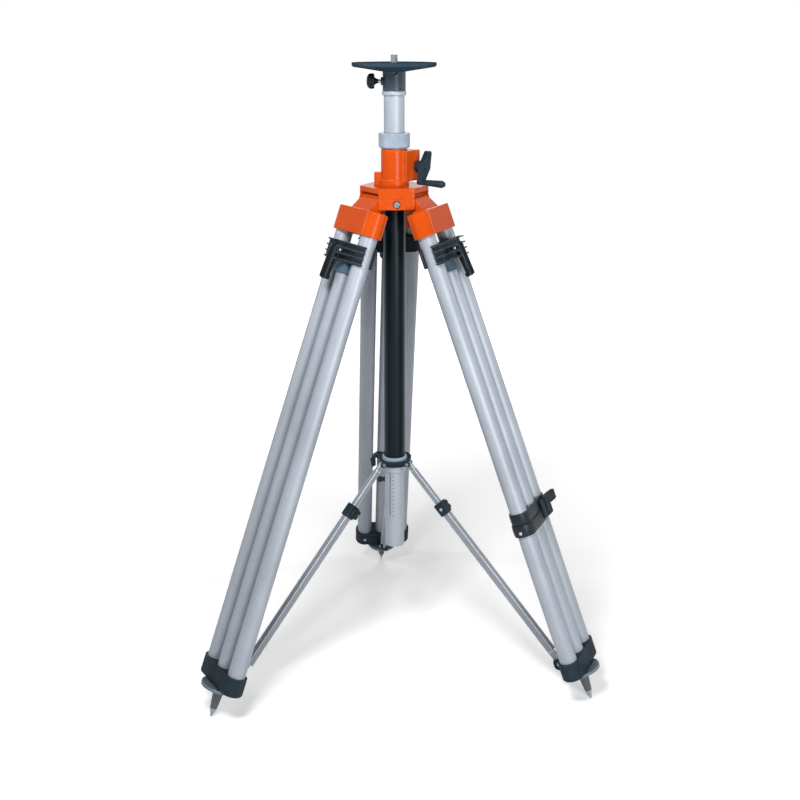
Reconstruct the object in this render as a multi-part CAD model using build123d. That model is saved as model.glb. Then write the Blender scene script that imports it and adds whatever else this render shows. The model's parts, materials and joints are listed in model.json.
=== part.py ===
from build123d import *
import math
import os

# Surveying tripod with a crank column. Millimetres, +Z up, column axis on Z,
# ground at Z = 0, rear leg towards +Y.

# Fits
run_gap = 0.05          # radial clearance of a turning or sliding fit
seat_gap = 0.02         # radial clearance of a fixed seat
free_gap = 0.3          # clearance between pieces that only pass each other
edge_round = 1.5        # rounding of cast and moulded edges

# Stance
spread_angle = 20.7     # leg from vertical when spread
hinge_radius = 52.0     # leg hinge pin from the column axis
leg_length = 1237.0     # hinge pin to spike tip, along the leg
leg_offset = 19.5       # plane of the leg tubes outside the hinge pin
leg_azimuths = {"rear": 90.0, "left": 210.0, "right": 330.0}

# Leg tubes
tube_r = 20.0
tube_wall = 2.0
tube_spacing = 102.0    # between the two outer tubes
socket_depth = 40.0     # outer tubes inside the shoulder
shoe_socket = 32.0      # outer tubes inside the shoe

# Shoulder casting of a leg
shoulder_top = 36.0     # below the hinge pin
shoulder_height = 57.0
shoulder_wall = 7.5     # around the tubes
neck_half = 36.0        # half width of the neck and hinge barrel
barrel_r = 11.0
neck_outer = 12.0       # neck outside the tube plane where it meets the shoulder
neck_inner = 20.0       # neck inside the tube plane there
neck_sink = 1.0         # neck let into the shoulder
pin_r = 5.0
pin_half = 46.0

# Head casting
slot_gap = 1.0          # each side of a leg neck
slot_bottom = 39.0      # neck slot starts this far from the column axis
head_inradius = 69.0    # hexagon
head_corner = 6.0
cap_step = 1.5          # hinge cap outside the casting
head_depth = 24.0       # casting above and below the hinge pins
plate_lift = 12.0       # underside of the top plate above the pins
screw_r = 4.0
screw_head_r = 6.5
screw_sink = 5.0
screw_room = 2.5        # around the head of the screw
screw_length = 22.0
screw_drop = 12.0       # below the hinge pins
socket_r = 2.5          # key socket in the screw head
socket_sink = 3.0

# Column and its guide
column_r = 23.5
column_wall = 3.0
column_length = 1087.0
column_out = 83.0       # column standing out of the lock ring
guide_r = 25.5
guide_wall = 1.5
guide_length = 680.0
guide_seat = 6.0        # guide tube standing into the housing
plug_depth = 12.0
ring_r = 27.5
ring_height = 10.0
ring_round = 2.5
spigot_r = 12.0
spigot_height = 30.0

# Crank housing
housing_r = 30.5
housing_height = 81.0
flange_r = 34.0
flange_height = 14.0
neck_r = 29.0
neck_height = 26.0
bush_wall = 3.0
boss_r = 8.0            # small side boss
boss_reach = 46.0
boss_height = 30.0
boss_azimuth = 176.0
lock_r = 35.5
lock_height = 34.0
lock_gap = 4.0
lock_lip = 6.0
lock_chamfer = 3.0      # lower edge
lock_bevel = 1.5        # upper edge

# Crank drive
crank_azimuth = -45.0   # crank shaft direction
shaft_height = 43.5     # shaft above the head casting
shaft_r = 4.0
gear_module = 1.25
pinion_teeth = 12
pressure_angle = 20.0
backlash = 0.3
pinion_width = 9.0
rack_width = 10.0
rack_back = 4.0         # bar behind the teeth
rack_lap = 15.0         # rack beyond the pinion at both ends of the travel
tooth_height = 0.85     # above the pitch line
tooth_root = 1.25       # below the pitch line
lift_up = 450.0         # column travel
lift_down = 80.0
case_reach = 35.0       # gear case along the shaft
case_inner = 18.0       # and behind the column
case_front = 5.0
case_wall = 3.5         # behind the pinion
case_top = 80.0
case_bottom = 11.0
case_chamfer = 7.0      # lower corner, behind
case_slope = 28.0       # height of that corner
cover_thick = 5.0
pocket_gap = 1.0        # around the pinion
bearing_depth = 8.0

# Crank
collar_r = 8.0
collar_length = 14.0    # cover to arm
crank_boss_r = 13.0
crank_boss = 10.0
crank_up = 31.0
crank_down = 36.0
crank_hub_r = 14.0
crank_end_r = 6.5
crank_thick = 17.0
crank_end_thick = 13.0
crank_angle = 22.0      # arm from vertical
grip_length = 58.0
grip_r = 6.0
grip_end_r = 8.5
grip_nose_r = 6.8
grip_nose = 4.0
grip_pin_r = 3.0
grip_head_r = 4.5
grip_head = 3.0

# Instrument head
plate_r = 95.0
plate_rim = 9.5
plate_cone = 10.5
plate_chamfer = 3.2
hub_r = 26.0
hub_height = 42.0
hub_window_r = 6.5
thread_r = 7.94         # five eighths of an inch
thread_out = 17.0
shank_r = 9.5           # screw pressed into the plate
shank_depth = 16.0
thread_chamfer = 1.5
knob_r = 17.5
knob_waist = 3.5        # depth of the hollows between lobes
knob_hollow_r = 8.75
knob_round = 6.5
knob_lobes = 6
knob_thick = 18.0
knob_neck_r = 9.0
knob_neck_end_r = 6.3
knob_neck = 8.5
knob_gap = 5.5          # between the hub and the knob
knob_height = 21.0      # above the bottom of the hub
knob_azimuth = 176.0
stud_r = 4.0
stud_boss_r = 9.0
stud_boss = 4.0

# Brace hub below the guide tube
hub_rim_r = 40.0
hub_rim_lift = 16.0     # rim above the end of the guide tube
hub_dish = 8.0
hub_dish_wall = 5.0
hub_body_r = 31.0
hub_body_drop = 3.0     # below the end of the guide tube
hub_ring_height = 17.0
hub_ring_round = 3.4
hub_ring_r = 26.5
brace_radius = 37.0     # strut pivot from the column axis
brace_lift = 3.0        # strut pivot above the end of the guide tube
ear_thick = 4.0
ear_r = 7.0
brace_pin_r = 3.0
brace_head_r = 4.0
brace_head = 2.5

# Catch on the brace hub
catch_azimuth = 150.0
catch_radius = 50.0     # pivot from the column axis
catch_lift = 12.0       # pivot above the end of the guide tube
catch_half = 7.0
catch_r = 5.0
catch_pin_r = 2.0
catch_ear = 3.0
catch_belly = 13.0      # hook outside the pivot
catch_drop = 12.0       # widest part below the pivot
catch_length = 31.0
catch_thick = 8.0

# Struts
eye_thick = 8.0
eye_r = 6.25
eye_neck = 20.0         # flat end of the rod
rod_side = 12.5
rod_length = 285.0
strut_side = 16.0
strut_start = 124.0     # upper end of the strut tube from the hub pivot
strut_bore_end = 60.0   # solid lower end of the strut tube
tongue_thick = 5.0
tongue_r = 7.0
tongue_length = 34.0
rivet_r = 4.5
rivet_head = 2.5
clamp_side = 23.0
clamp_length = 32.0
clamp_cap = 6.0         # clamp beyond the end of the strut tube
screw_shank_r = 3.0     # thumb screw that presses on the rod
screw_collar_r = 7.0
screw_collar = 5.0
wing_r = 6.0            # each of its two lobes
wing_thick = 5.0
wing_reach = 22.0       # outside the clamp

# Shoe and foot
shoe_rise = 121.0       # top of the shoe above the spike tip, along the leg
shoe_height = 42.0
shoe_wall = 5.5
shoe_edge = 5.0
lug_depth = 45.0        # strut pivot inside the tube plane
lug_rise = 95.0         # strut pivot above the spike tip, along the leg
lug_thick = 6.0
lug_r = 9.0
foot_gap = 2.0
step_r = 44.0
step_thick = 6.0
spike_r = 13.5
spike_end_r = 8.3
spike_tip_r = 1.5
spike_tip = 21.0
foot_plug = 30.0

# Leg clamp carriage
carriage_top = 116.0    # below the hinge pin
carriage_height = 45.0
carriage_split = 14.0   # bands start this far from the tube plane
carriage_wall = 7.0
inner_tube_top = 136.0  # below the hinge pin
collar_wall = 5.0
collar_height = 24.0
rib_count = 4
rib_pitch = 13.3
rib_thick = 3.0
rib_out = 3.5
rib_edge = 2.0          # first rib below the top of the carriage
fin_out = 26.0
fin_wide = 8.0
cheek_thick = 5.0
cheek_out = 20.0
cheek_r = 9.0
lever_pivot_drop = 21.0  # below the top of the carriage
lever_pivot_out = 14.0   # outside the face of the carriage
lever_half = 12.0
lever_head_r = 9.0
lever_root = 4.5        # arm behind the pivot
lever_length = 66.0
lever_thick = 9.0
lever_flare = 5.0
lever_pin_r = 3.0
lever_hook_r = 6.0

# Transport strap on the right leg
strap_drop = 777.0      # middle of the strap below the hinge pin
strap_width = 27.0      # of each of its two turns
strap_thick = 3.0
strap_step = 2.5        # lower turn outside the upper one
buckle_offset = 38.0
buckle_wide = 44.0
buckle_out = 11.0
buckle_height = 44.0

# Sizes that follow
leg_sin = math.sin(math.radians(spread_angle))
leg_cos = math.cos(math.radians(spread_angle))
hinge_height = leg_length * leg_cos - leg_offset * leg_sin + spike_tip_r * leg_sin
head_top = hinge_height + head_depth
head_bottom = hinge_height - head_depth
housing_top = head_top + housing_height
lock_bottom = housing_top + lock_gap
lock_top = lock_bottom + lock_height
column_top = lock_top + column_out
column_bottom = column_top - column_length
hub_bottom = column_top + ring_height + free_gap
cone_bottom = hub_bottom + hub_height
plate_bottom = cone_bottom + plate_cone
plate_top = plate_bottom + plate_rim
guide_top = head_top + guide_seat
guide_bottom = guide_top - guide_length
tube_half = tube_spacing / 2
shoulder_r = tube_r + shoulder_wall
shoe_r = tube_r + shoe_wall
shoulder_bottom = shoulder_top + shoulder_height
shoe_top = leg_length - shoe_rise
lug_drop = leg_length - lug_rise
shoe_bottom = shoe_top + shoe_height
step_top = shoe_bottom + foot_gap
step_bottom = step_top + step_thick
carriage_bottom = carriage_top + carriage_height
carriage_face = tube_r + carriage_wall
cap_inradius = head_inradius + cap_step
pitch_r = gear_module * pinion_teeth / 2
tooth_pitch = math.pi * gear_module
rack_pitch = math.sqrt(column_r**2 - (rack_width / 2) ** 2) - tooth_height - run_gap
shaft_offset = rack_pitch + pitch_r
shaft_z = head_top + shaft_height
brace_z = guide_bottom + brace_lift
lug_x = leg_offset - lug_depth
lug_radius = hinge_radius + lug_x * leg_cos + lug_drop * leg_sin
lug_z = hinge_height + lug_x * leg_sin - lug_drop * leg_cos
strut_length = math.hypot(lug_radius - brace_radius, brace_z - lug_z)
strut_angle = math.degrees(math.atan2(brace_z - lug_z, lug_radius - brace_radius))
crank_start = case_reach + cover_thick + collar_length
pocket_r = pitch_r + tooth_height + pocket_gap
case_back = shaft_offset + pocket_r + case_wall


def box(x0, x1, y0, y1, z0, z1):
    """A box between two corners."""
    center = Pos((x0 + x1) / 2, (y0 + y1) / 2, (z0 + z1) / 2)
    return center * Box(x1 - x0, y1 - y0, z1 - z0)


def rod_z(radius, z0, z1, x=0.0, y=0.0):
    """A cylinder along Z."""
    return Pos(x, y, (z0 + z1) / 2) * Cylinder(radius, z1 - z0)


def rod_y(radius, y0, y1, x=0.0, z=0.0):
    """A cylinder along Y."""
    return Pos(x, (y0 + y1) / 2, z) * Rot(90, 0, 0) * Cylinder(radius, y1 - y0)


def rod_x(radius, x0, x1, y=0.0, z=0.0):
    """A cylinder along X."""
    return Pos((x0 + x1) / 2, y, z) * Rot(0, 90, 0) * Cylinder(radius, x1 - x0)


def prism_y(points, y0, y1):
    """An outline in X and Z, drawn out along Y."""
    outline = make_face(Polyline([(x, y0, z) for x, z in points], close=True))
    return extrude(outline, y1 - y0, dir=(0, 1, 0))


def prism_x(points, x0, x1):
    """An outline in Y and Z, drawn out along X."""
    outline = make_face(Polyline([(x0, y, z) for y, z in points], close=True))
    return extrude(outline, x1 - x0, dir=(1, 0, 0))


def turned(points):
    """An outline of radius and height, turned about Z."""
    outline = make_face(Polyline([(r, 0, z) for r, z in points], close=True))
    return revolve(outline, Axis.Z)


def stadium(radius, half, z0, z1, x=0.0):
    """A slab with round ends, long along Y."""
    ends = rod_z(radius, z0, z1, x, -half) + rod_z(radius, z0, z1, x, half)
    return ends + box(x - radius, x + radius, -half, half, z0, z1)


def on_leg(shape, name):
    """From the frame of a leg that hangs from its pin to the spread leg."""
    spread = Pos(hinge_radius, 0, hinge_height) * Rot(0, -spread_angle, 0)
    return Rot(0, 0, leg_azimuths[name]) * spread * shape


def on_strut(shape, name):
    """From the frame of a strut along +X from its hub pivot."""
    slanted = Pos(brace_radius, 0, brace_z) * Rot(0, strut_angle, 0)
    return Rot(0, 0, leg_azimuths[name]) * slanted * shape


def on_crank(shape):
    """From the frame with the crank shaft along +X."""
    return Rot(0, 0, crank_azimuth) * shape


def save(shape, node):
    export_step(shape, f"parts/{node}.step")


def hexagon(inradius, z0, z1):
    """The head's hexagonal outline with rounded corners."""
    plan = RegularPolygon(inradius, 6, major_radius=False, rotation=0)
    plan = fillet(plan.vertices(), head_corner)
    return Pos(0, 0, z0) * extrude(plan, z1 - z0)


def neck_slots():
    """The three slots that the leg necks swing in."""
    reach = 2 * head_inradius
    half = neck_half + slot_gap
    underside = hinge_height + plate_lift
    slot = box(slot_bottom, reach, -half, half, head_bottom - slot_gap, underside)
    return [Rot(0, 0, a) * slot for a in leg_azimuths.values()]


def hinge_pin_holes(gap):
    """Rods on the three leg hinge axes."""
    pin = rod_y(pin_r + gap, -pin_half - gap, pin_half + gap, hinge_radius, hinge_height)
    return [Rot(0, 0, a) * pin for a in leg_azimuths.values()]


def head_screw(gap):
    """Socket screw through the face of the hinge cap, on -X."""
    face = -cap_inradius
    z = hinge_height - screw_drop
    head = rod_x(screw_head_r + gap, face - gap, face + screw_sink + gap, 0, z)
    shank = rod_x(screw_r + gap, face + screw_sink, face + screw_length + gap, 0, z)
    return head + shank


def screw_places(shape):
    """A block lies opposite to each leg."""
    return [Rot(0, 0, a) * shape for a in leg_azimuths.values()]


def make_head():
    body = hexagon(head_inradius, hinge_height, head_top)
    body = fillet(body.edges().group_by(Axis.Z)[-1], edge_round)
    body -= neck_slots()
    body -= hinge_pin_holes(seat_gap)
    body -= rod_z(guide_r + seat_gap, hinge_height, head_top)
    save(body, "head_casting")
    cap = hexagon(cap_inradius, head_bottom, hinge_height)
    cap = fillet(cap.edges().group_by(Axis.Z)[-1], edge_round)
    cap = fillet(cap.edges().group_by(Axis.Z)[0], edge_round)
    cap -= neck_slots()
    cap -= hinge_pin_holes(seat_gap)
    cap -= rod_z(guide_r + seat_gap, head_bottom, hinge_height)
    face = -cap_inradius
    z = hinge_height - screw_drop
    cap -= screw_places(head_screw(seat_gap))
    cap -= screw_places(rod_x(screw_head_r + screw_room, face, face + screw_sink, 0, z))
    save(cap, "hinge_cap")
    save(Compound(hinge_pin_holes(0.0)), "hinge_pins")
    recess = rod_x(socket_r, face, face + socket_sink, 0, z)
    save(Compound(screw_places(head_screw(0.0) - recess)), "head_screws")


def make_housing():
    shell = rod_z(housing_r, head_top, housing_top)
    shell += rod_z(flange_r, head_top, head_top + flange_height)
    shell += rod_z(neck_r, housing_top, housing_top + neck_height)
    low = head_top + case_bottom
    high = head_top + case_top
    case = box(-case_inner, case_reach, -case_front, case_back, low, high)
    corner = [(case_back - case_chamfer, low), (case_back, low), (case_back, low + case_slope)]
    case -= prism_x(corner, -case_inner, case_reach)
    boss = rod_z(boss_r, head_top, head_top + boss_height, boss_reach - boss_r)
    boss += box(0, boss_reach - boss_r, -boss_r, boss_r, head_top, head_top + boss_height)
    shell += on_crank(case)
    shell += Rot(0, 0, boss_azimuth) * boss
    shell -= rod_z(guide_r + seat_gap, head_top, guide_top)
    shell -= rod_z(column_r + free_gap, guide_top, housing_top)
    shell -= rod_z(column_r + bush_wall, housing_top, housing_top + neck_height)
    inner = -pinion_width / 2 - pocket_gap
    shell -= on_crank(rod_x(pocket_r, inner, case_reach, shaft_offset, shaft_z))
    shell -= on_crank(rod_x(shaft_r + run_gap, inner - bearing_depth, inner, shaft_offset, shaft_z))
    save(shell, "column_housing")
    bush = rod_z(column_r + bush_wall - seat_gap, housing_top, housing_top + neck_height)
    bush -= rod_z(column_r + run_gap, housing_top, housing_top + neck_height)
    save(bush, "upper_bush")
    cover = box(case_reach, case_reach + cover_thick, -case_front, case_back, low, high)
    cover -= prism_x(corner, case_reach, case_reach + cover_thick)
    cover -= rod_x(shaft_r + run_gap, case_reach, case_reach + cover_thick, shaft_offset, shaft_z)
    save(on_crank(cover), "gear_cover")


def make_lock_ring():
    inner = column_r + free_gap
    outline = [
        (neck_r + free_gap, lock_bottom),
        (lock_r - lock_chamfer, lock_bottom),
        (lock_r, lock_bottom + lock_chamfer),
        (lock_r, lock_top - lock_bevel),
        (lock_r - lock_bevel, lock_top),
        (inner, lock_top),
        (inner, lock_top - lock_lip),
        (neck_r + free_gap, lock_top - lock_lip),
    ]
    save(turned(outline), "column_lock_ring")


def catch_ears():
    """The two ears that carry the catch, in front of the hub's rim on +X."""
    z = guide_bottom + catch_lift
    near = catch_half + free_gap
    ears = []
    for side in (-1, 1):
        y0, y1 = sorted((side * near, side * (near + catch_ear)))
        ear = rod_y(catch_r, y0, y1, catch_radius, z)
        ear += box(hub_rim_r - catch_ear, catch_radius, y0, y1, z - catch_r, z + catch_r)
        ears.append(ear - rod_y(catch_pin_r + run_gap, y0, y1, catch_radius, z))
    return ears


def make_catch():
    z = guide_bottom + catch_lift
    x = catch_radius
    end = catch_half + free_gap + catch_ear
    hook = [
        (x, z + catch_r),
        (x + catch_belly, z - catch_drop),
        (x + catch_thick, z - catch_length),
        (x + catch_thick / 2, z - catch_length),
        (x + catch_belly - catch_thick, z - catch_drop),
        (x, z - catch_r),
    ]
    lever = prism_y(hook, -catch_half, catch_half)
    lever += rod_y(catch_r, -catch_half, catch_half, x, z)
    lever += rod_y(catch_pin_r, -end, end, x, z)
    save(Rot(0, 0, catch_azimuth) * lever, "brace_catch")


def make_guide():
    tube = rod_z(guide_r, guide_bottom, guide_top)
    tube -= rod_z(guide_r - guide_wall, guide_bottom, guide_top)
    save(tube, "guide_tube")
    rim = guide_bottom + hub_rim_lift
    bottom = guide_bottom - hub_body_drop
    outline = [
        (column_r + free_gap, bottom),
        (hub_body_r, bottom),
        (hub_body_r, rim - hub_dish - hub_dish_wall),
        (hub_rim_r, rim - hub_dish_wall),
        (hub_rim_r, rim),
        (guide_r + seat_gap, rim - hub_dish),
        (guide_r + seat_gap, guide_bottom),
        (column_r + free_gap, guide_bottom),
    ]
    hub = turned(outline)
    half = eye_thick / 2 + free_gap
    end = half + ear_thick
    ear = rod_y(ear_r, -end, end, brace_radius, brace_z)
    ear += box(hub_body_r - ear_thick, brace_radius, -end, end, brace_z - ear_r, brace_z)
    slot_top = brace_z + eye_r + free_gap
    slot = box(brace_radius - eye_r - free_gap, hub_rim_r * 2, -half, half, bottom - ear_r, slot_top)
    pin = rod_y(brace_pin_r, -end, end, brace_radius, brace_z)
    hole = rod_y(brace_pin_r + seat_gap, -end, end, brace_radius, brace_z)
    hub += [Rot(0, 0, catch_azimuth) * piece for piece in catch_ears()]
    for angle in leg_azimuths.values():
        hub += Rot(0, 0, angle) * ear
    for angle in leg_azimuths.values():
        hub -= Rot(0, 0, angle) * slot
        hub -= Rot(0, 0, angle) * hole
    save(hub, "brace_hub")
    for side in (-1, 1):
        head = sorted((side * end, side * (end + brace_head)))
        pin += rod_y(brace_head_r, head[0], head[1], brace_radius, brace_z)
    save(Compound([Rot(0, 0, a) * pin for a in leg_azimuths.values()]), "brace_pins")
    ring = rod_z(hub_ring_r, bottom - hub_ring_height, bottom)
    ring = fillet(ring.edges().filter_by(GeomType.CIRCLE), hub_ring_round)
    ring -= rod_z(column_r + run_gap, bottom - hub_ring_height, bottom)
    save(ring, "guide_bush")


def rack_outline(z0, z1):
    """Teeth and bar in Y and Z, with a gap facing the pinion at rest."""
    half = (tooth_pitch / 2 - backlash) / 2
    slope = math.tan(math.radians(pressure_angle))
    tip = rack_pitch + tooth_height
    root = rack_pitch - tooth_root
    first = math.ceil((z0 - shaft_z) / tooth_pitch)
    last = math.floor((z1 - shaft_z) / tooth_pitch) - 1
    points = [(root - rack_back, z0), (root, z0)]
    for i in range(first, last + 1):
        z = shaft_z + (i + 0.5) * tooth_pitch
        points.append((root, z - half - tooth_root * slope))
        points.append((tip, z - half + tooth_height * slope))
        points.append((tip, z + half - tooth_height * slope))
        points.append((root, z + half + tooth_root * slope))
    points += [(root, z1), (root - rack_back, z1)]
    return points


def pinion_outline():
    """Involute teeth in Y and Z about the shaft, one tooth towards -Y."""
    phi = math.radians(pressure_angle)
    base = pitch_r * math.cos(phi)
    tip = pitch_r + tooth_height
    root = pitch_r - tooth_root
    half = (tooth_pitch / 2 - backlash) / 2 / pitch_r + math.tan(phi) - phi
    steps = 4
    flank = [(root, half)]
    for i in range(steps + 1):
        radius = base + (tip - base) * i / steps
        roll = math.acos(base / radius)
        flank.append((radius, half - (math.tan(roll) - roll)))
    points = []
    for tooth in range(pinion_teeth):
        middle = math.pi + 2 * math.pi * tooth / pinion_teeth
        side = [(r, middle - a) for r, a in flank]
        side += [(r, middle + a) for r, a in reversed(flank)]
        points += [(shaft_offset + r * math.cos(a), shaft_z + r * math.sin(a)) for r, a in side]
    return points


def make_column():
    low = shaft_z - lift_up - rack_lap
    high = shaft_z + lift_down + rack_lap
    rack = prism_x(rack_outline(low, high), -rack_width / 2, rack_width / 2)
    tube = rod_z(column_r, column_bottom, column_top)
    tube -= rod_z(column_r - column_wall, column_bottom, column_top)
    slot = rack_width / 2 + seat_gap
    tube -= on_crank(box(-slot, slot, 0, 2 * column_r, low - seat_gap, high + seat_gap))
    save(tube, "column_tube")
    save(on_crank(rack), "gear_rack")
    bore = column_r - column_wall - seat_gap
    ring = rod_z(ring_r, column_top, column_top + ring_height)
    ring = fillet(ring.edges().filter_by(GeomType.CIRCLE), ring_round)
    ring += rod_z(bore, column_top - plug_depth, column_top)
    ring += rod_z(spigot_r, column_top + ring_height, column_top + ring_height + spigot_height)
    save(ring, "column_ring")
    plug = rod_z(bore, column_bottom, column_bottom + plug_depth)
    save(plug, "column_plug")


def make_crank():
    pinion = prism_x(pinion_outline(), -pinion_width / 2, pinion_width / 2)
    inner = -pinion_width / 2 - pocket_gap - bearing_depth
    shaft = pinion + rod_x(shaft_r, inner, crank_start + crank_thick, shaft_offset, shaft_z)
    near = crank_start
    boss = near - crank_boss
    shaft += rod_x(collar_r, case_reach + cover_thick + free_gap, boss, shaft_offset, shaft_z)
    save(on_crank(shaft), "pinion_shaft")
    far = crank_start + crank_thick
    thin = far - crank_end_thick
    arm = rod_x(crank_hub_r, near, far) + rod_x(crank_boss_r, boss, near)
    ends = []
    for reach in (crank_up, -crank_down):
        tip = rod_x(crank_end_r, thin, far, 0, reach)
        web = [(-crank_hub_r, 0), (crank_hub_r, 0), (crank_end_r, reach), (-crank_end_r, reach)]
        ends.append(prism_x(web, thin, far) + tip)
    arm = arm + ends
    arm += rod_x(grip_pin_r, far, far + grip_length, 0, -crank_down)
    arm += rod_x(grip_head_r, far + grip_length, far + grip_length + grip_head, 0, -crank_down)
    arm -= rod_x(shaft_r + seat_gap, boss, far)
    grip = turned([
        (grip_pin_r + run_gap, far + free_gap),
        (grip_r, far + free_gap),
        (grip_end_r, far + grip_length - grip_nose),
        (grip_nose_r, far + grip_length - free_gap),
        (grip_pin_r + run_gap, far + grip_length - free_gap),
    ])
    grip = Pos(0, 0, -crank_down) * Rot(0, 90, 0) * grip
    turn = Pos(0, shaft_offset, shaft_z) * Rot(-crank_angle, 0, 0)
    save(on_crank(turn * arm), "crank_arm")
    save(on_crank(turn * grip), "crank_grip")


def make_instrument_head():
    seat = spigot_height + free_gap
    outline = [
        (0, hub_bottom + seat),
        (spigot_r + run_gap, hub_bottom + seat),
        (spigot_r + run_gap, hub_bottom),
        (hub_r, hub_bottom),
        (hub_r, cone_bottom),
        (plate_r - plate_chamfer, plate_bottom),
        (plate_r, plate_bottom + plate_chamfer),
        (plate_r, plate_top),
        (0, plate_top),
    ]
    head = turned(outline)
    knob_z = hub_bottom + knob_height
    boss = Rot(0, 0, knob_azimuth) * rod_x(stud_boss_r, 0, hub_r + stud_boss, 0, knob_z)
    head += boss - rod_z(hub_r - stud_boss, hub_bottom, cone_bottom)
    head -= rod_z(shank_r + seat_gap, plate_top - shank_depth, plate_top)
    head -= Rot(0, 0, knob_azimuth) * rod_x(stud_r + run_gap, 0, 2 * hub_r, 0, knob_z)
    window = rod_y(hub_window_r, -hub_r - hub_window_r, -hub_r + hub_window_r, 0, cone_bottom)
    head -= window
    save(head, "head_plate")
    screw = rod_z(thread_r, plate_top, plate_top + thread_out)
    screw = chamfer(screw.edges().group_by(Axis.Z)[-1], thread_chamfer)
    screw += rod_z(shank_r, plate_top - shank_depth, plate_top)
    save(screw, "fixing_screw")
    start = hub_r + stud_boss
    inner = start + knob_gap
    stud = rod_x(stud_r, spigot_r + 2 * free_gap, inner + knob_neck, 0, knob_z)
    back = inner + knob_neck
    knob = rod_x(knob_r, back, back + knob_thick, 0, knob_z)
    knob = fillet(knob.edges().filter_by(GeomType.CIRCLE), knob_round)
    reach = knob_r + knob_hollow_r - knob_waist
    for i in range(knob_lobes):
        angle = 2 * math.pi * (i + 0.5) / knob_lobes
        y = reach * math.cos(angle)
        z = knob_z + reach * math.sin(angle)
        knob -= rod_x(knob_hollow_r, back, back + knob_thick, y, z)
    neck = turned([(0, inner), (knob_neck_end_r, inner), (knob_neck_r, back), (0, back)])
    knob += Pos(0, 0, knob_z) * Rot(0, 90, 0) * neck
    knob -= rod_x(stud_r + seat_gap, inner, back, 0, knob_z)
    save(Rot(0, 0, knob_azimuth) * knob, "clamp_knob")
    save(Rot(0, 0, knob_azimuth) * stud, "clamp_stud")


def make_shoulder(name):
    x = leg_offset
    block = stadium(shoulder_r, tube_half, -shoulder_bottom, -shoulder_top, x)
    block = fillet(block.edges().group_by(Axis.Z)[-1], 2 * edge_round)
    block = fillet(block.edges().group_by(Axis.Z)[0], edge_round)
    side = [
        (-barrel_r, 0),
        (barrel_r, 0),
        (x + neck_outer, -shoulder_top - neck_sink),
        (x - neck_inner, -shoulder_top - neck_sink),
    ]
    block += prism_y(side, -neck_half, neck_half)
    block += rod_y(barrel_r, -neck_half, neck_half)
    socket_end = -shoulder_bottom + socket_depth
    hollow = tube_half - tube_r - shoulder_wall
    for y in (-tube_half, tube_half):
        block -= rod_z(tube_r + seat_gap, -shoulder_bottom, socket_end, x, y)
    block -= box(x - tube_r, x + tube_r, -hollow, hollow, -shoulder_bottom, socket_end)
    block -= rod_y(pin_r + run_gap, -neck_half, neck_half)
    save(on_leg(block, name), f"{name}_shoulder")


def leg_tube(top, bottom, y):
    """A leg tube in the leg's own frame."""
    tube = rod_z(tube_r, -bottom, -top, leg_offset, y)
    return tube - rod_z(tube_r - tube_wall, -bottom, -top, leg_offset, y)


def make_leg(name):
    make_shoulder(name)
    x = leg_offset
    top = shoulder_bottom - socket_depth
    tubes = [leg_tube(top, shoe_top + shoe_socket, y) for y in (-tube_half, tube_half)]
    save(on_leg(Compound(tubes), name), f"{name}_outer_tubes")
    shoe = stadium(shoe_r, tube_half, -shoe_bottom, -shoe_top, x)
    shoe = fillet(shoe.edges().group_by(Axis.Z)[0], shoe_edge)
    root = x - tube_r - free_gap
    lug = [
        (lug_x, -lug_drop - lug_r),
        (lug_x, -lug_drop + lug_r),
        (root, -shoe_top - shoe_edge),
        (root, -shoe_bottom + shoe_edge),
    ]
    plate = prism_y(lug, free_gap / 2, lug_thick)
    plate += rod_y(lug_r, free_gap / 2, lug_thick, lug_x, -lug_drop)
    plate += rod_y(rivet_r, lug_thick, lug_thick + rivet_head, lug_x, -lug_drop)
    shoe += plate
    for y in (-tube_half, tube_half):
        shoe -= rod_z(tube_r + seat_gap, -shoe_top - shoe_socket, -shoe_top, x, y)
    shoe -= rod_z(tube_r + free_gap, -shoe_bottom, -shoe_top, x)
    save(on_leg(shoe, name), f"{name}_shoe")
    save(on_leg(leg_tube(inner_tube_top, step_top, 0.0), name), f"{name}_inner_tube")
    tip = leg_length
    foot = turned([
        (0, -tip),
        (spike_tip_r, -tip),
        (spike_end_r, -tip + spike_tip),
        (spike_r, -step_bottom),
        (step_r, -step_bottom),
        (step_r, -step_top),
        (tube_r - tube_wall - seat_gap, -step_top),
        (tube_r - tube_wall - seat_gap, -step_top + foot_plug),
        (0, -step_top + foot_plug),
    ])
    save(on_leg(Pos(x, 0, 0) * foot, name), f"{name}_foot")
    make_carriage(name)


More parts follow.
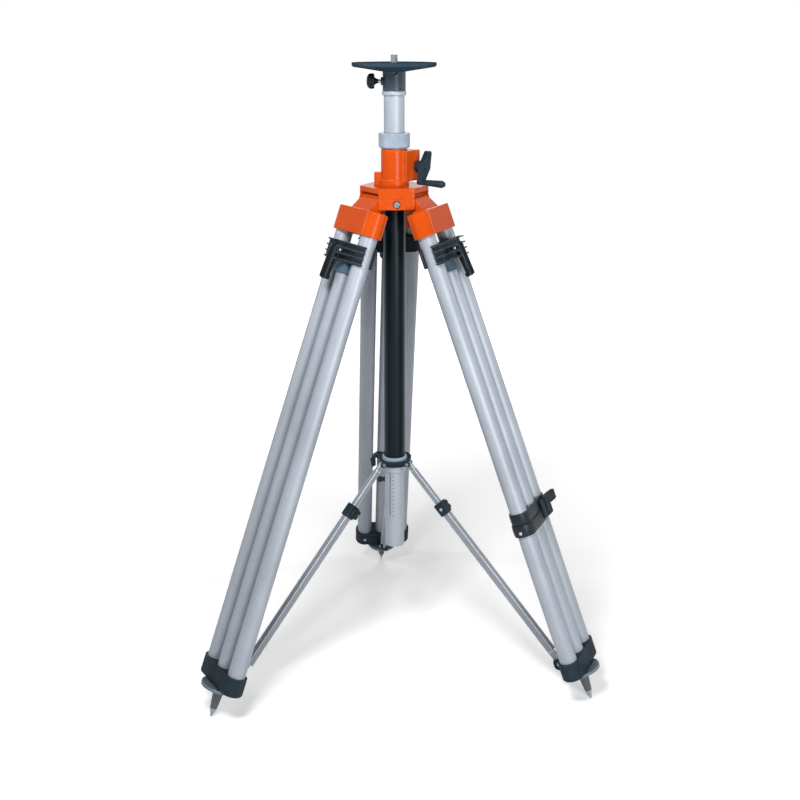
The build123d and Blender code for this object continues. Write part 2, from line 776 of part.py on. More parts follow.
def make_carriage(name):
    x = leg_offset
    face = x + carriage_face
    rib_r = carriage_face + rib_out
    end = tube_half + rib_r
    body = stadium(carriage_face, tube_half, -carriage_bottom, -carriage_top, x)
    body = fillet(body.edges().group_by(Axis.Z)[-1], edge_round)
    body = fillet(body.edges().group_by(Axis.Z)[0], edge_round)
    body += rod_z(tube_r + collar_wall, -carriage_bottom - collar_height, -carriage_bottom, x)
    cheek_in = lever_half + free_gap
    cheek_end = cheek_in + cheek_thick
    pivot_x = face + lever_pivot_out
    pivot_z = -carriage_top - lever_pivot_drop
    for side in (-1, 1):
        near, far = sorted((side * cheek_in, side * cheek_end))
        body += rod_y(cheek_r, near, far, pivot_x, pivot_z)
        body += box(face, pivot_x, near, far, pivot_z - cheek_r, pivot_z + cheek_r)
    for i in range(rib_count):
        low = -carriage_top - rib_edge - i * rib_pitch - rib_thick / 2
        high = low + rib_thick
        rib = stadium(rib_r, tube_half, low, high, x)
        rib -= box(x - rib_r, x + rib_r, -cheek_end, cheek_end, low, high)
        body += rib - box(x - rib_r, x + carriage_split, -end, end, low, high)
        for side in (-1, 1):
            near, far = sorted((side * cheek_end, side * (cheek_end + fin_wide)))
            body += box(face, face + fin_out, near, far, low, high)
    for side in (-1, 1):
        y = side * tube_half
        body -= rod_z(tube_r + free_gap, -carriage_bottom, -carriage_top, x, y)
        near, far = sorted((y, side * end))
        body -= box(x - carriage_split, x + carriage_split, near, far, -carriage_bottom, -carriage_top)
    body -= rod_z(tube_r + seat_gap, -carriage_bottom - collar_height, -inner_tube_top, x)
    body -= rod_y(lever_pin_r + run_gap, -cheek_end, cheek_end, pivot_x, pivot_z)
    save(on_leg(body, name), f"{name}_clamp_carriage")
    end_z = pivot_z - lever_length
    arm = [
        (pivot_x - lever_root, pivot_z),
        (pivot_x + lever_head_r, pivot_z),
        (pivot_x + lever_head_r + lever_flare, end_z),
        (pivot_x + lever_head_r + lever_flare - lever_thick, end_z),
        (pivot_x + lever_head_r - lever_thick, pivot_z - 2 * lever_head_r),
    ]
    lever = prism_y(arm, -lever_half, lever_half)
    lever += rod_y(lever_head_r, -lever_half, lever_half, pivot_x, pivot_z)
    hook_x = pivot_x + lever_head_r + lever_flare - lever_hook_r
    lever += rod_y(lever_hook_r, -lever_half, lever_half, hook_x, end_z)
    lever += rod_y(lever_pin_r, -cheek_end, cheek_end, pivot_x, pivot_z)
    save(on_leg(lever, name), f"{name}_clamp_lever")


def make_strut(name):
    half = rod_side / 2
    rod = rod_y(eye_r, -eye_thick / 2, eye_thick / 2)
    rod += box(0, eye_neck, -eye_thick / 2, eye_thick / 2, -half, half)
    rod += box(eye_neck, rod_length, -half, half, -half, half)
    rod -= rod_y(brace_pin_r + run_gap, -eye_thick, eye_thick)
    save(on_strut(rod, name), f"{name}_strut_rod")
    side = strut_side / 2
    bore = half + free_gap
    end = strut_length - tongue_length
    tube = box(strut_start, end, -side, side, -side, side)
    tube -= box(strut_start, end - strut_bore_end, -bore, bore, -bore, bore)
    tongue = -free_gap / 2 - tongue_thick
    tube += box(end, strut_length, tongue, -free_gap / 2, -tongue_r, tongue_r)
    tube += rod_y(tongue_r, tongue, -free_gap / 2, strut_length)
    tube += rod_y(rivet_r, tongue - rivet_head, tongue, strut_length)
    tube -= rod_y(screw_shank_r + run_gap, 0, strut_side, strut_start - clamp_cap + clamp_length / 2)
    save(on_strut(tube, name), f"{name}_strut_tube")
    wide = clamp_side / 2
    start = strut_start - clamp_cap
    stop = start + clamp_length
    clamp = box(start, stop, -wide, wide, -wide, wide)
    clamp = fillet(clamp.edges(), edge_round)
    seat = side + seat_gap
    clamp -= box(strut_start, stop, -seat, seat, -seat, seat)
    clamp -= box(start, strut_start, -bore, bore, -bore, bore)
    middle = (start + stop) / 2
    clamp -= rod_y(screw_shank_r + run_gap, 0, wide, middle)
    save(on_strut(clamp, name), f"{name}_strut_clamp")
    low = wide + free_gap
    lobe_y = wide + wing_reach - wing_r
    screw = rod_y(screw_shank_r, bore, low, middle)
    screw += rod_y(screw_collar_r, low, low + screw_collar, middle)
    plate = rod_z(wing_r, 0, wing_thick, middle - wing_r, lobe_y)
    plate += rod_z(wing_r, 0, wing_thick, middle + wing_r, lobe_y)
    plate += box(middle - wing_r, middle + wing_r, low, lobe_y, 0, wing_thick)
    screw += Pos(0, 0, -wing_thick / 2) * plate
    save(on_strut(screw, name), f"{name}_strut_screw")


def strap_turn(outer, low, high):
    """One turn of the strap round the outer tubes."""
    inner = tube_r + free_gap
    turn = stadium(outer, tube_half, low, high, leg_offset)
    return turn - stadium(inner, tube_half, low, high, leg_offset)


def make_strap():
    upper = tube_r + free_gap + strap_thick
    lower = upper + strap_step
    band = strap_turn(upper, -strap_drop, -strap_drop + strap_width)
    band += strap_turn(lower, -strap_drop - strap_width, -strap_drop)
    save(on_leg(band, "right"), "transport_strap")
    near = leg_offset + lower
    left = buckle_offset - buckle_wide / 2
    tall = buckle_height / 2
    buckle = box(near, near + buckle_out, left, left + buckle_wide, -tall, tall)
    buckle = Pos(0, 0, -strap_drop) * fillet(buckle.edges(), edge_round)
    save(on_leg(buckle, "right"), "strap_buckle")


os.makedirs("parts", exist_ok=True)
make_head()
make_housing()
make_lock_ring()
make_guide()
make_catch()
make_column()
make_crank()
make_instrument_head()
for leg in leg_azimuths:
    make_leg(leg)
    make_strut(leg)
make_strap()
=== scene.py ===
import json
import math

import bmesh
import bpy
from mathutils import Matrix, Vector


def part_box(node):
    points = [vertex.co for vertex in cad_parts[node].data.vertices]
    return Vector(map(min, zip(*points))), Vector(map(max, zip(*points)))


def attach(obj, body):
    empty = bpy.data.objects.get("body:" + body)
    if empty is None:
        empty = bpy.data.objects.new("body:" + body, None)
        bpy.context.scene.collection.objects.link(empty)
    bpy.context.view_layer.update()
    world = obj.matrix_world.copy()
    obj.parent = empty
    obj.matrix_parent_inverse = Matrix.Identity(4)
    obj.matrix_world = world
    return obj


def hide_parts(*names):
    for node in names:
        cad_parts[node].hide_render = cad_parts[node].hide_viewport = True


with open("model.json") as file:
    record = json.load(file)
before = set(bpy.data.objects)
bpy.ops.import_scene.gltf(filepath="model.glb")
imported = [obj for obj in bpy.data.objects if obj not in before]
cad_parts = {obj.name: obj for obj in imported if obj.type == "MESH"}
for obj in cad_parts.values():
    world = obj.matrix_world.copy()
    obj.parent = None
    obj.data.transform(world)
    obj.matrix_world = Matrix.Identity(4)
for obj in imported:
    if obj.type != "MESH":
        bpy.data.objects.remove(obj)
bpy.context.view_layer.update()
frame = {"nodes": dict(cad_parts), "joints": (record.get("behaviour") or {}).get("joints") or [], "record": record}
nodes = frame["nodes"]
joints = {joint["name"]: joint for joint in frame["joints"]}
node_slots = {part["node"]: part["material_slot"] for part in frame["record"]["subparts"]}
mounts = {mount["name"]: mount for mount in frame["record"]["mounts"]}

LEGS = ("rear", "left", "right")
UP = Vector((0, 0, 1))
SHARP_ANGLE = math.radians(35)

# Camera, fitted to the photograph
IMAGE_PX = 800
CAMERA_AT = Vector((-0.1998, -2.5415, 1.51))
CAMERA_YAW = math.radians(4.789)
CAMERA_PITCH = math.radians(13.159)
FOCAL_PX = 1119.3
CAMERA_SHIFT = -0.13

# Light
HEAD_AIM = (0, 0, 1.2)  # point that most lamps face
WORLD_LIGHT = 0.12      # on the object; rays that see the background directly find white
FLOOR_NEAR = 0.6        # the lamps reach the floor this far out
FLOOR_FAR = 3.2         # and less this far
FLOOR_GLOW = (0.22, 0.9)

# Leg, in the frame of a leg that hangs from its hinge pin
LEG_PLANE = 0.0195      # plane of the tubes outside the pin
TUBE_R = 0.020
TUBE_HALF = 0.051       # outer tubes from the middle of the leg
SHOE_R = 0.0255
SHOE_TOP = 1.116        # below the pin
LEVER_END = 0.0173      # clamp pin ends from the middle of the leg
LEVER_HALF = 0.012
LEVER_HEAD_R = 0.009
LEVER_LENGTH = 0.066
LEVER_FLARE = 0.005
RIM_HIGH = 0.0022       # rims along a clamp lever's sides
RIM_WIDE = 0.0026
LUG_SIDE = 0.0085       # outer face of the rivet at the brace lug
CHEEK_NEAR = 0.0083     # inner face of the lug's second cheek
CHEEK_FAR = 0.0118
CHEEK_REACH = 0.014     # past the brace joint
CHEEK_UP = 0.012
CHEEK_DOWN = 0.026
BAR_HALF = 0.008        # half a side of the brace's tube
BAR_END = 0.034         # end of that tube from the brace joint
BAR_GAP = 0.011         # and of the half bar that goes on from it
LUG_DEPTH = 0.045       # brace joint inside the tube plane
LUG_DROP = 1.142        # and below the pin
COLLAR_R = 0.025        # collar under the clamp carriage
COLLAR_TOP = 0.161      # below the pin
COLLAR_HEIGHT = 0.024
CLAMP_SIDE = 0.0115     # face of a brace clamp from the brace's axis
PIN_RIVET = (0.0042, 0.0016)    # radius and height of the rivets on clamp pins and shoes
CLAMP_RIVET = (0.004, 0.0016)
LUG_RIVET = (0.0052, 0.0018)
SHOE_RIVET_DROP = 0.020         # below the shoe's top

# Transport strap, in the frame of the right leg
STRAP_DROP = 0.777
STRAP_WIDTH = 0.027
STRAP_THICK = 0.003
STRAP_GAP = 0.0003
STRAP_STEP = 0.0025
STRAP_CROWN = 0.0006    # swelling of the band between its edges
BUCKLE_MIDDLE = 0.038
BUCKLE_WIDE = 0.044
BUCKLE_HEIGHT = 0.044
BUCKLE_OUT = 0.0085
BUCKLE_PLATE = 0.003    # thickness of the buckle's plate
BUCKLE_BAR = 0.015      # widths of its raised ends
BUCKLE_CLASP = 0.023
BUCKLE_ROUND = 0.0022
TAIL_START = 0.034
TAIL_END = 0.083
TAIL_CURL = 0.010
TAIL_STEPS = 12
TAIL_POINT = 0.85       # share of its length at which it begins to narrow
BAND_STEPS = 120
STRAP_RIVET = (0.004, 0.0018)

# Crank, along its shaft from the column axis
CRANK_FACE = 0.071
CRANK_CAP = [(0, -0.001), (0.0072, -0.001), (0.0072, 0.0012), (0.006, 0.0022), (0, 0.0026)]
GRIP_END = 0.132
GRIP_R = 0.0068

# Knob of the head clamp, along its stud from the column axis
KNOB_INNER = 0.0355
KNOB_BACK = 0.044       # back of its disc
KNOB_END = 0.062
KNOB_R = 0.0175
KNOB_BORE = 0.00405
KNOB_FLUTES = 12
KNOB_FLUTE = 0.0017     # depth of a flute

# Foot, below the pin
SPIKE_ROOT = 1.1662
SPIKE_POINT = 1.216

# Column scale
SCALE_BOTTOM = 0.371
SCALE_TOP = 1.2         # only faint marks above
SCALE_STEP = 0.010
SCALE_MARK = 0.0016
SCALE_TICKS = (-0.0079, -0.0029)    # spans across the tube's front
SCALE_LINE = (-0.0135, -0.0114)
SCALE_FAINT = (-0.0015, 0.0005)
SCALE_FADE = 0.35

# Instrument plate and screw
PLATE_LOW = 1.429       # height at which the plate goes over into its hub
SCREW_PITCH = 0.0254 / 11
SCREW_DEPTH = 0.32      # of the thread, in pitches

# Ring in the brace hub's dish: radius, and height above the foot of the guide tube
DISH_RING = [(0.0256, 0.0085), (0.0305, 0.0112), (0.0305, 0.0150), (0.0290, 0.0182), (0.0256, 0.0195)]


def add_mesh(name, points, faces):
    """A smooth mesh object from points and faces."""
    mesh = bpy.data.meshes.new(name)
    mesh.from_pydata([tuple(point) for point in points], [], faces)
    mesh.validate()
    shell = bmesh.new()
    shell.from_mesh(mesh)
    bmesh.ops.recalc_face_normals(shell, faces=shell.faces)
    shell.to_mesh(mesh)
    shell.free()
    mesh.shade_smooth()
    mesh.set_sharp_from_angle(angle=SHARP_ANGLE)
    piece = bpy.data.objects.new(name, mesh)
    bpy.context.scene.collection.objects.link(piece)
    return piece


def soften(piece, width, segments=2):
    """Rounds the sharp edges of a piece."""
    bevel = piece.modifiers.new("edges", "BEVEL")
    bevel.width = width
    bevel.segments = segments
    bevel.limit_method = "ANGLE"
    bevel.angle_limit = SHARP_ANGLE
    bevel.harden_normals = True
    return piece


def dress(piece, body, slot, *replaced, finish=None):
    """Puts a piece on its body with its slot's material, or with another finish."""
    piece.data.materials.append(materials[finish or slot])
    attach(piece, body)
    if replaced:
        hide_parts(*replaced)


def lathe(name, outline, place, sides=64, shape=None):
    """Turns an outline of radius and height about Z. shape may change a radius by angle and height."""
    points = []
    rows = []
    for radius, height in outline:
        if radius == 0:
            points.append(place @ Vector((0, 0, height)))
            rows.append([len(points) - 1] * sides)
            continue
        row = []
        for i in range(sides):
            angle = 2 * math.pi * i / sides
            r = radius if shape is None else shape(radius, height, angle)
            points.append(place @ Vector((r * math.cos(angle), r * math.sin(angle), height)))
            row.append(len(points) - 1)
        rows.append(row)
    faces = []
    closed = outline[0][0] != 0 or outline[-1][0] != 0
    pairs = list(zip(rows, rows[1:]))
    if closed:
        pairs.append((rows[-1], rows[0]))
    for low, high in pairs:
        for i in range(sides):
            j = (i + 1) % sides
            corners = [low[i], low[j], high[j], high[i]]
            faces.append(list(dict.fromkeys(corners)))
    return add_mesh(name, points, faces)


def axis_place(at, axis):
    """The frame at a point with Z along an axis."""
    turn = UP.rotation_difference(Vector(axis)).to_matrix().to_4x4()
    return Matrix.Translation(Vector(at)) @ turn


def leg_place(name):
    """The frame of a leg: hinge pin at the origin, X outward, Z up along the leg."""
    at = Vector(joints[f"{name}_leg_fold"]["pos_m"])
    up = -Vector(joints[f"{name}_leg_extend"]["axis"])
    across = UP.cross(Vector((at.x, at.y, 0)).normalized())
    out = across.cross(up)
    place = Matrix((out, across, up)).transposed().to_4x4()
    place.translation = at
    return place


def rivet(name, at, axis, size, body):
    """A domed rivet head that stands on a face. Its size is a radius and a height."""
    radius, height = size
    sink = height * 0.3
    rim = 0.25
    outline = [(0, -sink), (radius, -sink), (radius, height * rim)]
    steps = 5
    for i in range(1, steps):
        angle = math.pi / 2 * i / steps
        outline.append((radius * math.cos(angle), height * (rim + (1 - rim) * math.sin(angle))))
    outline.append((0, height))
    dress(lathe(name, outline, axis_place(at, axis), 24), body, "bright_steel")


# Materials


class Shader:
    """A material's node tree with short calls for the nodes used here."""

    def __init__(self, name, roughness, metallic=0.0):
        self.material = bpy.data.materials.new(name)
        self.material.use_nodes = True
        self.tree = self.material.node_tree
        self.surface = self.tree.nodes["Principled BSDF"]
        self.surface.inputs["Roughness"].default_value = roughness
        self.surface.inputs["Metallic"].default_value = metallic
        self.object = self.node("ShaderNodeTexCoord").outputs["Object"]

    def node(self, kind, **settings):
        made = self.tree.nodes.new(kind)
        for key, value in settings.items():
            setattr(made, key, value)
        return made

    def link(self, source, target):
        self.tree.links.new(source, target)

    def set(self, **values):
        for key, value in values.items():
            self.surface.inputs[key.replace("_", " ")].default_value = value

    def math(self, operation, a, b=0.0):
        made = self.node("ShaderNodeMath", operation=operation)
        for socket, value in zip(made.inputs, (a, b)):
            if isinstance(value, (int, float)):
                socket.default_value = value
            else:
                self.link(value, socket)
        return made.outputs[0]

    def noise(self, scale, detail=3.0, vector=None):
        made = self.node("ShaderNodeTexNoise")
        made.inputs["Scale"].default_value = scale
        made.inputs["Detail"].default_value = detail
        self.link(vector or self.object, made.inputs["Vector"])
        return made.outputs["Fac"]

    def cells(self, scale):
        made = self.node("ShaderNodeTexVoronoi", feature="SMOOTH_F1")
        made.inputs["Scale"].default_value = scale
        self.link(self.object, made.inputs["Vector"])
        return made.outputs["Distance"]

    def ramp(self, factor, stops):
        made = self.node("ShaderNodeValToRGB")
        elements = made.color_ramp.elements
        while len(elements) < len(stops):
            elements.new(0.5)
        for element, (position, colour) in zip(elements, stops):
            element.position = position
            element.color = (*colour, 1)
        self.link(factor, made.inputs["Fac"])
        return made.outputs["Color"]

    def patches(self, factor, low, high):
        """Goes from one colour to another over the usual values of a noise."""
        return self.ramp(factor, [(0.3, low), (0.7, high)])

    def mix(self, factor, a, b):
        made = self.node("ShaderNodeMix", data_type="RGBA")
        for socket, value in zip((made.inputs[0], made.inputs[6], made.inputs[7]), (factor, a, b)):
            if isinstance(value, tuple):
                socket.default_value = (*value, 1)
            else:
                self.link(value, socket)
        return made.outputs[2]

    def remap(self, factor, source, target):
        """Maps one range to another and stops at its ends."""
        made = self.node("ShaderNodeMapRange")
        for key, value in zip(("From Min", "From Max", "To Min", "To Max"), (*source, *target)):
            made.inputs[key].default_value = value
        self.link(factor, made.inputs["Value"])
        return made.outputs["Result"]

    def spread(self, factor, low, high):
        """Maps the usual values of a noise to a range."""
        return self.remap(factor, (0.3, 0.7), (low, high))

    def edge(self, radius):
        """How near a point is to a sharp edge, from 0 to 1, and the rounded normal there."""
        bevel = self.node("ShaderNodeBevel", samples=4)
        bevel.inputs["Radius"].default_value = radius
        rounded = bevel.outputs["Normal"]
        true = self.node("ShaderNodeNewGeometry").outputs["Normal"]
        dot = self.node("ShaderNodeVectorMath", operation="DOT_PRODUCT")
        self.link(rounded, dot.inputs[0])
        self.link(true, dot.inputs[1])
        near = self.math("SUBTRACT", 1.0, dot.outputs["Value"])
        return self.math("MULTIPLY", near, 4.0), rounded

    def bump(self, height, strength, distance, normal=None):
        made = self.node("ShaderNodeBump")
        made.inputs["Strength"].default_value = strength
        made.inputs["Distance"].default_value = distance
        self.link(height, made.inputs["Height"])
        if normal is not None:
            self.link(normal, made.inputs["Normal"])
        self.link(made.outputs["Normal"], self.surface.inputs["Normal"])

    def colour(self, source):
        self.link(source, self.surface.inputs["Base Color"])

    def roughness(self, source):
        self.link(source, self.surface.inputs["Roughness"])


def shaded(shade, *tones):
    """Colours made lighter or darker."""
    return [tuple(share * shade for share in tone) for tone in tones]


def orange_paint():
    """Glossy paint with lighter edges, partly wear and partly a painted highlight."""
    shader = Shader("orange_paint", 0.3)
    shader.set(Specular_IOR_Level=0.09)
    base = shader.patches(shader.noise(14), (0.47, 0.054, 0.002), (0.53, 0.068, 0.005))
    near, rounded = shader.edge(0.0028)
    # Edges are mixed toward a pale orange: partly worn paint, partly a painted highlight.
    edge_wear_and_highlight = shader.math("MULTIPLY", near, shader.spread(shader.noise(90), 0.0, 0.4))
    shader.colour(shader.mix(edge_wear_and_highlight, base, (0.92, 0.30, 0.15)))
    shader.roughness(shader.spread(shader.noise(40), 0.12, 0.2))
    shader.bump(shader.noise(420, 1.0), 0.06, 0.0006, rounded)
    return shader.material


def drawn_aluminium(name, along, shade=1.0, rounding=0.0006, painted_edge_highlight=0.0):
    """Satin anodised aluminium with fine draw lines along an axis, and edges that may carry a painted highlight.
    """
    dark, light = shaded(shade, (0.272, 0.298, 0.340), (0.345, 0.376, 0.428))
    shader = Shader(name, 0.38, 0.28)
    shader.set(Specular_IOR_Level=0.2)
    turn = shader.node("ShaderNodeMapping", vector_type="POINT")
    turn.inputs["Rotation"].default_value = Vector(along).rotation_difference(UP).to_euler()
    shader.link(shader.object, turn.inputs["Vector"])
    stretch = shader.node("ShaderNodeMapping", vector_type="POINT")
    stretch.inputs["Scale"].default_value = (1, 1, 0.012)
    shader.link(turn.outputs[0], stretch.inputs["Vector"])
    streak = shader.noise(900, 2.0, stretch.outputs[0])
    cloud = shader.noise(7)
    fine = 0.45
    tone = shader.math("MULTIPLY", streak, fine)
    tone = shader.math("ADD", tone, shader.math("MULTIPLY", cloud, 1 - fine))
    base = shader.ramp(tone, [(0.35, dark), (0.65, light)])
    near, rounded = shader.edge(rounding)
    # Painted highlight: edges mixed toward near-white.
    if painted_edge_highlight:
        base = shader.mix(shader.math("MULTIPLY", near, painted_edge_highlight), base, (0.88, 0.90, 0.93))
    shader.colour(base)
    shader.roughness(shader.spread(streak, 0.42, 0.52))
    shader.bump(streak, 0.05, 0.0002, rounded)
    return shader


def scaled_aluminium():
    """The column's tube: drawn aluminium with a printed scale on its front."""
    shader = drawn_aluminium("column_aluminium", UP)
    base = shader.surface.inputs["Base Color"].links[0].from_socket
    split = shader.node("ShaderNodeSeparateXYZ")
    shader.link(shader.object, split.inputs[0])
    x, y, z = split.outputs
    front = shader.math("LESS_THAN", y, 0.0)
    height = shader.math("SUBTRACT", z, SCALE_BOTTOM)
    above = shader.math("GREATER_THAN", height, 0.0)
    below = shader.math("LESS_THAN", z, SCALE_TOP)
    mark = shader.math("LESS_THAN", shader.math("MODULO", height, SCALE_STEP), SCALE_MARK)

    def stripe(span):
        past = shader.math("GREATER_THAN", x, span[0])
        return shader.math("MULTIPLY", past, shader.math("LESS_THAN", x, span[1]))

    ticks = shader.math("MULTIPLY", mark, stripe(SCALE_TICKS))
    lower = shader.math("MULTIPLY", shader.math("MAXIMUM", ticks, stripe(SCALE_LINE)), below)
    fade = shader.math("SUBTRACT", SCALE_FADE, shader.math("MULTIPLY", below, SCALE_FADE))
    faint = shader.math("MULTIPLY", shader.math("MULTIPLY", mark, stripe(SCALE_FAINT)), fade)
    print_area = shader.math("MULTIPLY", front, above)
    ink = shader.math("MULTIPLY", shader.math("MAXIMUM", lower, faint), print_area)
    shader.colour(shader.mix(shader.math("MULTIPLY", ink, 0.75), base, (0.05, 0.055, 0.065)))
    return shader


def black_paint():
    """Smooth black paint of the guide tube."""
    shader = Shader("black_paint", 0.3)
    shader.set(Specular_IOR_Level=0.13)
    shader.colour(shader.patches(shader.noise(5), (0.002, 0.0055, 0.008), (0.004, 0.009, 0.013)))
    shader.roughness(shader.spread(shader.noise(30), 0.28, 0.34))
    near, rounded = shader.edge(0.0008)
    shader.bump(shader.noise(700, 1.0), 0.03, 0.0002, rounded)
    return shader.material


def black_plastic(name="black_plastic", level=0.03, shade=1.0, edge=(0.12, 0.15, 0.18)):
    """Black moulding, dull or smoother, with lighter edges that are partly wear and partly a painted highlight."""
    shader = Shader(name, 0.42)
    shader.set(Specular_IOR_Level=level)
    near, rounded = shader.edge(0.0018)
    tones = shaded(shade, (0.012, 0.020, 0.026), (0.024, 0.037, 0.048))
    base = shader.patches(shader.noise(26), *tones)
    # The edge colour is partly wear and partly a painted highlight.
    edge_wear_and_highlight = shader.math("MULTIPLY", near, shader.spread(shader.noise(110), 0.3, 0.9))
    shader.colour(shader.mix(edge_wear_and_highlight, base, edge))
    shader.roughness(shader.spread(shader.noise(70), 0.36, 0.5))
    shader.bump(shader.cells(900), 0.1, 0.0003, rounded)
    return shader.material


def grey_ring(name="grey_ring", shade=1.0):
    """Grey-blue anodised or plated metal."""
    shader = Shader(name, 0.4)
    shader.set(Specular_IOR_Level=0.1)
    tones = shaded(shade, (0.23, 0.29, 0.345), (0.28, 0.345, 0.405))
    base = shader.patches(shader.noise(60), *tones)
    near, rounded = shader.edge(0.0006)
    # Edges are mixed toward a paler grey: partly wear, partly a painted highlight.
    shader.colour(shader.mix(shader.math("MULTIPLY", near, 0.5), base, (0.55, 0.61, 0.67)))
    shader.roughness(shader.spread(shader.noise(120), 0.32, 0.46))
    shader.bump(shader.noise(800, 1.0), 0.08, 0.0003, rounded)
    return shader.material


def blue_grey_paint(name="blue_grey_paint", level=0.0, shade=1.0, top=None):
    """Powder coat, or with a level above 0 a smoother paint, which may end at a height."""
    shader = Shader(name, 0.36)
    shader.set(Specular_IOR_Level=level)
    if top is not None:
        split = shader.node("ShaderNodeSeparateXYZ")
        shader.link(shader.object, split.inputs[0])
        smooth = shader.math("LESS_THAN", split.outputs[2], top)
        shader.link(shader.math("MULTIPLY", smooth, level), shader.surface.inputs["Specular IOR Level"])
    tones = shaded(shade, (0.044, 0.074, 0.106), (0.066, 0.108, 0.150))
    base = shader.patches(shader.noise(35), *tones)
    near, rounded = shader.edge(0.0014)
    # Edges are mixed toward a lighter grey: partly wear, partly a painted highlight.
    edge_wear_and_highlight = shader.math("MULTIPLY", near, shader.spread(shader.noise(80), 0.0, 0.5))
    shader.colour(shader.mix(edge_wear_and_highlight, base, (0.16, 0.19, 0.22)))
    shader.roughness(shader.spread(shader.noise(50), 0.3, 0.44))
    shader.bump(shader.cells(340), 0.1, 0.0005, rounded)
    return shader.material


def foot_steel(leg):
    """Dull plated steel with a darker spike, rubbed brighter at its point."""
    shader = Shader(f"{leg}_foot_steel", 0.42, 0.45)
    shader.set(Specular_IOR_Level=0.25)
    base = shader.patches(shader.noise(40, 5.0), (0.095, 0.130, 0.165), (0.145, 0.190, 0.230))
    axis = Vector(joints[f"{leg}_leg_extend"]["axis"])
    pin = axis.dot(Vector(joints[f"{leg}_leg_fold"]["pos_m"]))
    along = shader.node("ShaderNodeVectorMath", operation="DOT_PRODUCT")
    shader.link(shader.object, along.inputs[0])
    along.inputs[1].default_value = axis
    drop = along.outputs["Value"]
    spike = shader.math("GREATER_THAN", drop, pin + SPIKE_ROOT)
    base = shader.mix(shader.math("MULTIPLY", spike, 0.8), base, (0.075, 0.084, 0.092))
    tip = shader.math("GREATER_THAN", drop, pin + SPIKE_POINT)
    near, rounded = shader.edge(0.0016)
    # Lighter edges, partly wear and partly a painted highlight, and the rubbed point are mixed toward a paler
    # steel.
    edge_wear_and_highlight = shader.math("MULTIPLY", near, shader.spread(shader.noise(120), 0.5, 1.2))
    edge_wear_and_highlight = shader.math("MAXIMUM", edge_wear_and_highlight, shader.math("MULTIPLY", tip, 0.5))
    shader.colour(shader.mix(edge_wear_and_highlight, base, (0.50, 0.53, 0.57)))
    shader.roughness(shader.spread(shader.noise(90), 0.34, 0.52))
    shader.bump(shader.noise(500, 2.0), 0.1, 0.0004, rounded)
    return shader.material


def bright_steel(name="bright_steel", shade=1.0):
    """Plated steel of screws, pins and rivets."""
    shader = Shader(name, 0.3, 0.7)
    tones = shaded(shade, (0.31, 0.34, 0.37), (0.43, 0.46, 0.49))
    shader.colour(shader.patches(shader.noise(80), *tones))
    shader.roughness(shader.spread(shader.noise(200), 0.26, 0.38))
    near, rounded = shader.edge(0.0005)
    shader.bump(shader.noise(1200, 1.0), 0.05, 0.0002, rounded)
    return shader.material


def bush_plastic():
    """Pale plastic of the column's bush."""
    shader = Shader("bush_plastic", 0.5)
    shader.colour(shader.patches(shader.noise(50), (0.66, 0.66, 0.63), (0.76, 0.76, 0.73)))
    shader.roughness(shader.spread(shader.noise(90), 0.42, 0.58))
    near, rounded = shader.edge(0.0005)
    shader.bump(shader.noise(600, 1.0), 0.08, 0.0003, rounded)
    return shader.material


def webbing():
    """Flat coated webbing with the weave's fine diagonal showing through."""
    shader = Shader("webbing", 0.34)
    shader.set(Specular_IOR_Level=0.14)
    shader.colour(shader.patches(shader.noise(30), (0.008, 0.012, 0.015), (0.015, 0.021, 0.026)))
    shader.roughness(shader.spread(shader.noise(60), 0.28, 0.42))
    wave = shader.node("ShaderNodeTexWave", wave_type="BANDS", bands_direction="DIAGONAL")
    wave.inputs["Scale"].default_value = 260
    wave.inputs["Distortion"].default_value = 0.4
    shader.link(shader.object, wave.inputs["Vector"])
    shader.bump(wave.outputs["Fac"], 0.12, 0.0003)
    return shader.material


materials = {
    "orange_paint": orange_paint(),
    "satin_aluminium": drawn_aluminium("satin_aluminium", UP).material,
    "black_paint": black_paint(),
    "black_plastic": black_plastic(),
    "grey_ring": grey_ring(),
    "blue_grey_paint": blue_grey_paint(level=0.2, shade=0.54, top=PLATE_LOW),
    "bright_steel": bright_steel(),
    "bush_plastic": bush_plastic(),
    "webbing": webbing(),
    "clamp_plastic": black_plastic("clamp_plastic", 0.06, 0.55, (0.19, 0.24, 0.29)),
    "lever_plastic": black_plastic("lever_plastic", 0.03, 0.35, (0.26, 0.32, 0.37)),
    # A darker copy of bright steel for the head screws: painted shade of their sockets and counterbores.
    "screw_steel_painted_shade": bright_steel("screw_steel_painted_shade", 0.35),
    "pin_steel": bright_steel("pin_steel", 0.7),
    "thread_steel": grey_ring("thread_steel", 0.8),
    "knob_plastic": black_plastic("knob_plastic", 0.1, 0.3, (0.09, 0.12, 0.14)),
    "crank_paint": blue_grey_paint("crank_paint", 0.08, 0.26),
    "sleeve_paint": blue_grey_paint("sleeve_paint", 0.1, 1.15),
}
for leg_name in LEGS:
    materials[f"{leg_name}_foot"] = foot_steel(leg_name)
    tube_axis = joints[f"{leg_name}_leg_extend"]["axis"]
    bar_axis = joints[f"{leg_name}_strut_slide"]["axis"]
    materials[f"{leg_name}_tube"] = drawn_aluminium(f"{leg_name}_tube", tube_axis).material
    # Brace bars get a painted highlight along their edges.
    materials[f"{leg_name}_bar"] = drawn_aluminium(f"{leg_name}_bar", bar_axis, 0.7, 0.003, 2.0).material


